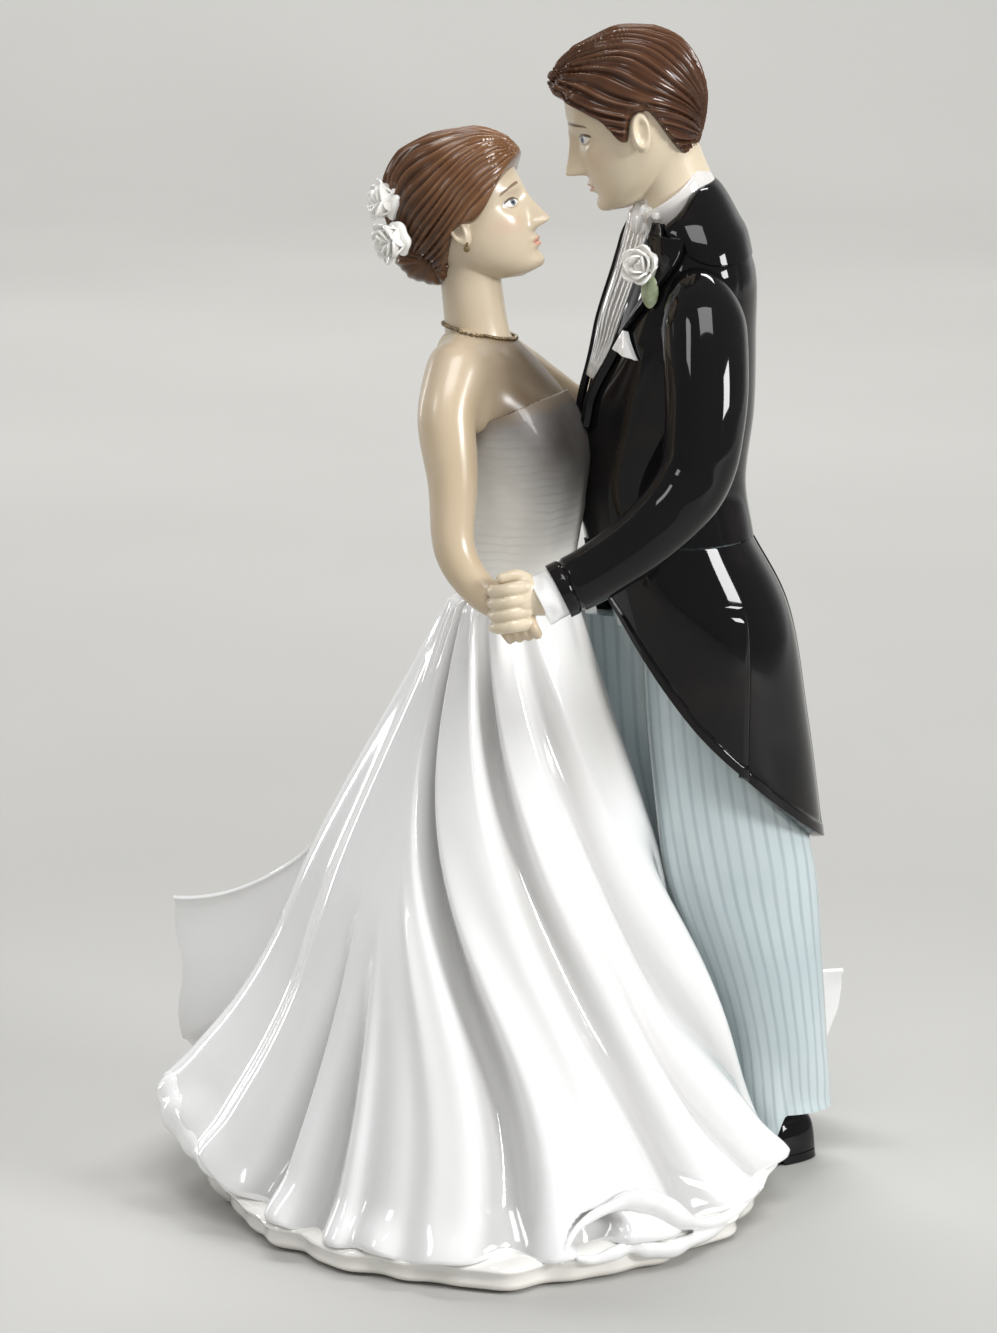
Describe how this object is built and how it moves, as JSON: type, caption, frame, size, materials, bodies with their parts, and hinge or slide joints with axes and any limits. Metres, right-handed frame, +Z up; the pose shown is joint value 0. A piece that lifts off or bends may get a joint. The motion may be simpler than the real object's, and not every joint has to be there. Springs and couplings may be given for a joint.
{
  "type": "wedding cake topper",
  "caption": "Glazed porcelain couple for the top of a wedding cake: a bride in a folded bell gown with a train and a groom in a morning coat, dancing hand in hand.",
  "frame": {"origin": "middle of the footprint, on the surface that the foot rim stands on", "axes": "+Z up; the bride stands on the -X side and the groom on the +X side, and -Y is the front that faces the guests"},
  "size_m": [0.1044, 0.0996, 0.1749],
  "materials": {
    "white_glaze": "clear gloss glaze over white porcelain",
    "silver_lustre": "pearly silver lustre under gloss glaze",
    "skin_enamel": "warm pale enamel under gloss glaze",
    "hair_enamel": "brushed brown enamel under gloss glaze",
    "black_enamel": "deep black high gloss",
    "pinstripe_enamel": "pale blue grey with darker brushed pinstripes, gloss",
    "leaf_enamel": "soft green tint, gloss",
    "gilt": "dark gilt beads"
  },
  "bodies": {
    "root": {"gown_skirt": "white_glaze", "foot_rim": "white_glaze", "hem_frill": "white_glaze", "gown_train": "white_glaze", "gown_bodice": "silver_lustre", "bride_shoulders": "skin_enamel", "bride_head": "skin_enamel", "bride_hair": "hair_enamel", "bride_chignon": "hair_enamel", "hair_rose_upper": "white_glaze", "hair_rose_lower": "white_glaze", "necklace": "gilt", "earring_right": "gilt", "earring_left": "gilt", "bride_right_arm": "skin_enamel", "bride_left_arm": "skin_enamel", "bride_right_hand": "skin_enamel", "bride_left_hand": "skin_enamel", "trouser_left_leg": "pinstripe_enamel", "trouser_right_leg": "pinstripe_enamel", "trouser_seat": "pinstripe_enamel", "left_shoe": "black_enamel", "right_shoe": "black_enamel", "coat_body": "black_enamel", "coat_left_tail": "black_enamel", "coat_right_tail": "black_enamel", "coat_collar": "black_enamel", "lapel_left": "black_enamel", "lapel_right": "black_enamel", "left_sleeve": "black_enamel", "right_sleeve": "black_enamel", "left_cuff": "white_glaze", "right_cuff": "white_glaze", "groom_left_hand": "skin_enamel", "groom_right_hand": "skin_enamel", "groom_head": "skin_enamel", "groom_hair": "hair_enamel", "shirt_collar": "white_glaze", "shirt_front": "white_glaze", "cravat": "white_glaze", "pocket_square": "white_glaze", "buttonhole_rose": "white_glaze", "buttonhole_leaf": "leaf_enamel"}
  },
  "joints": []
}
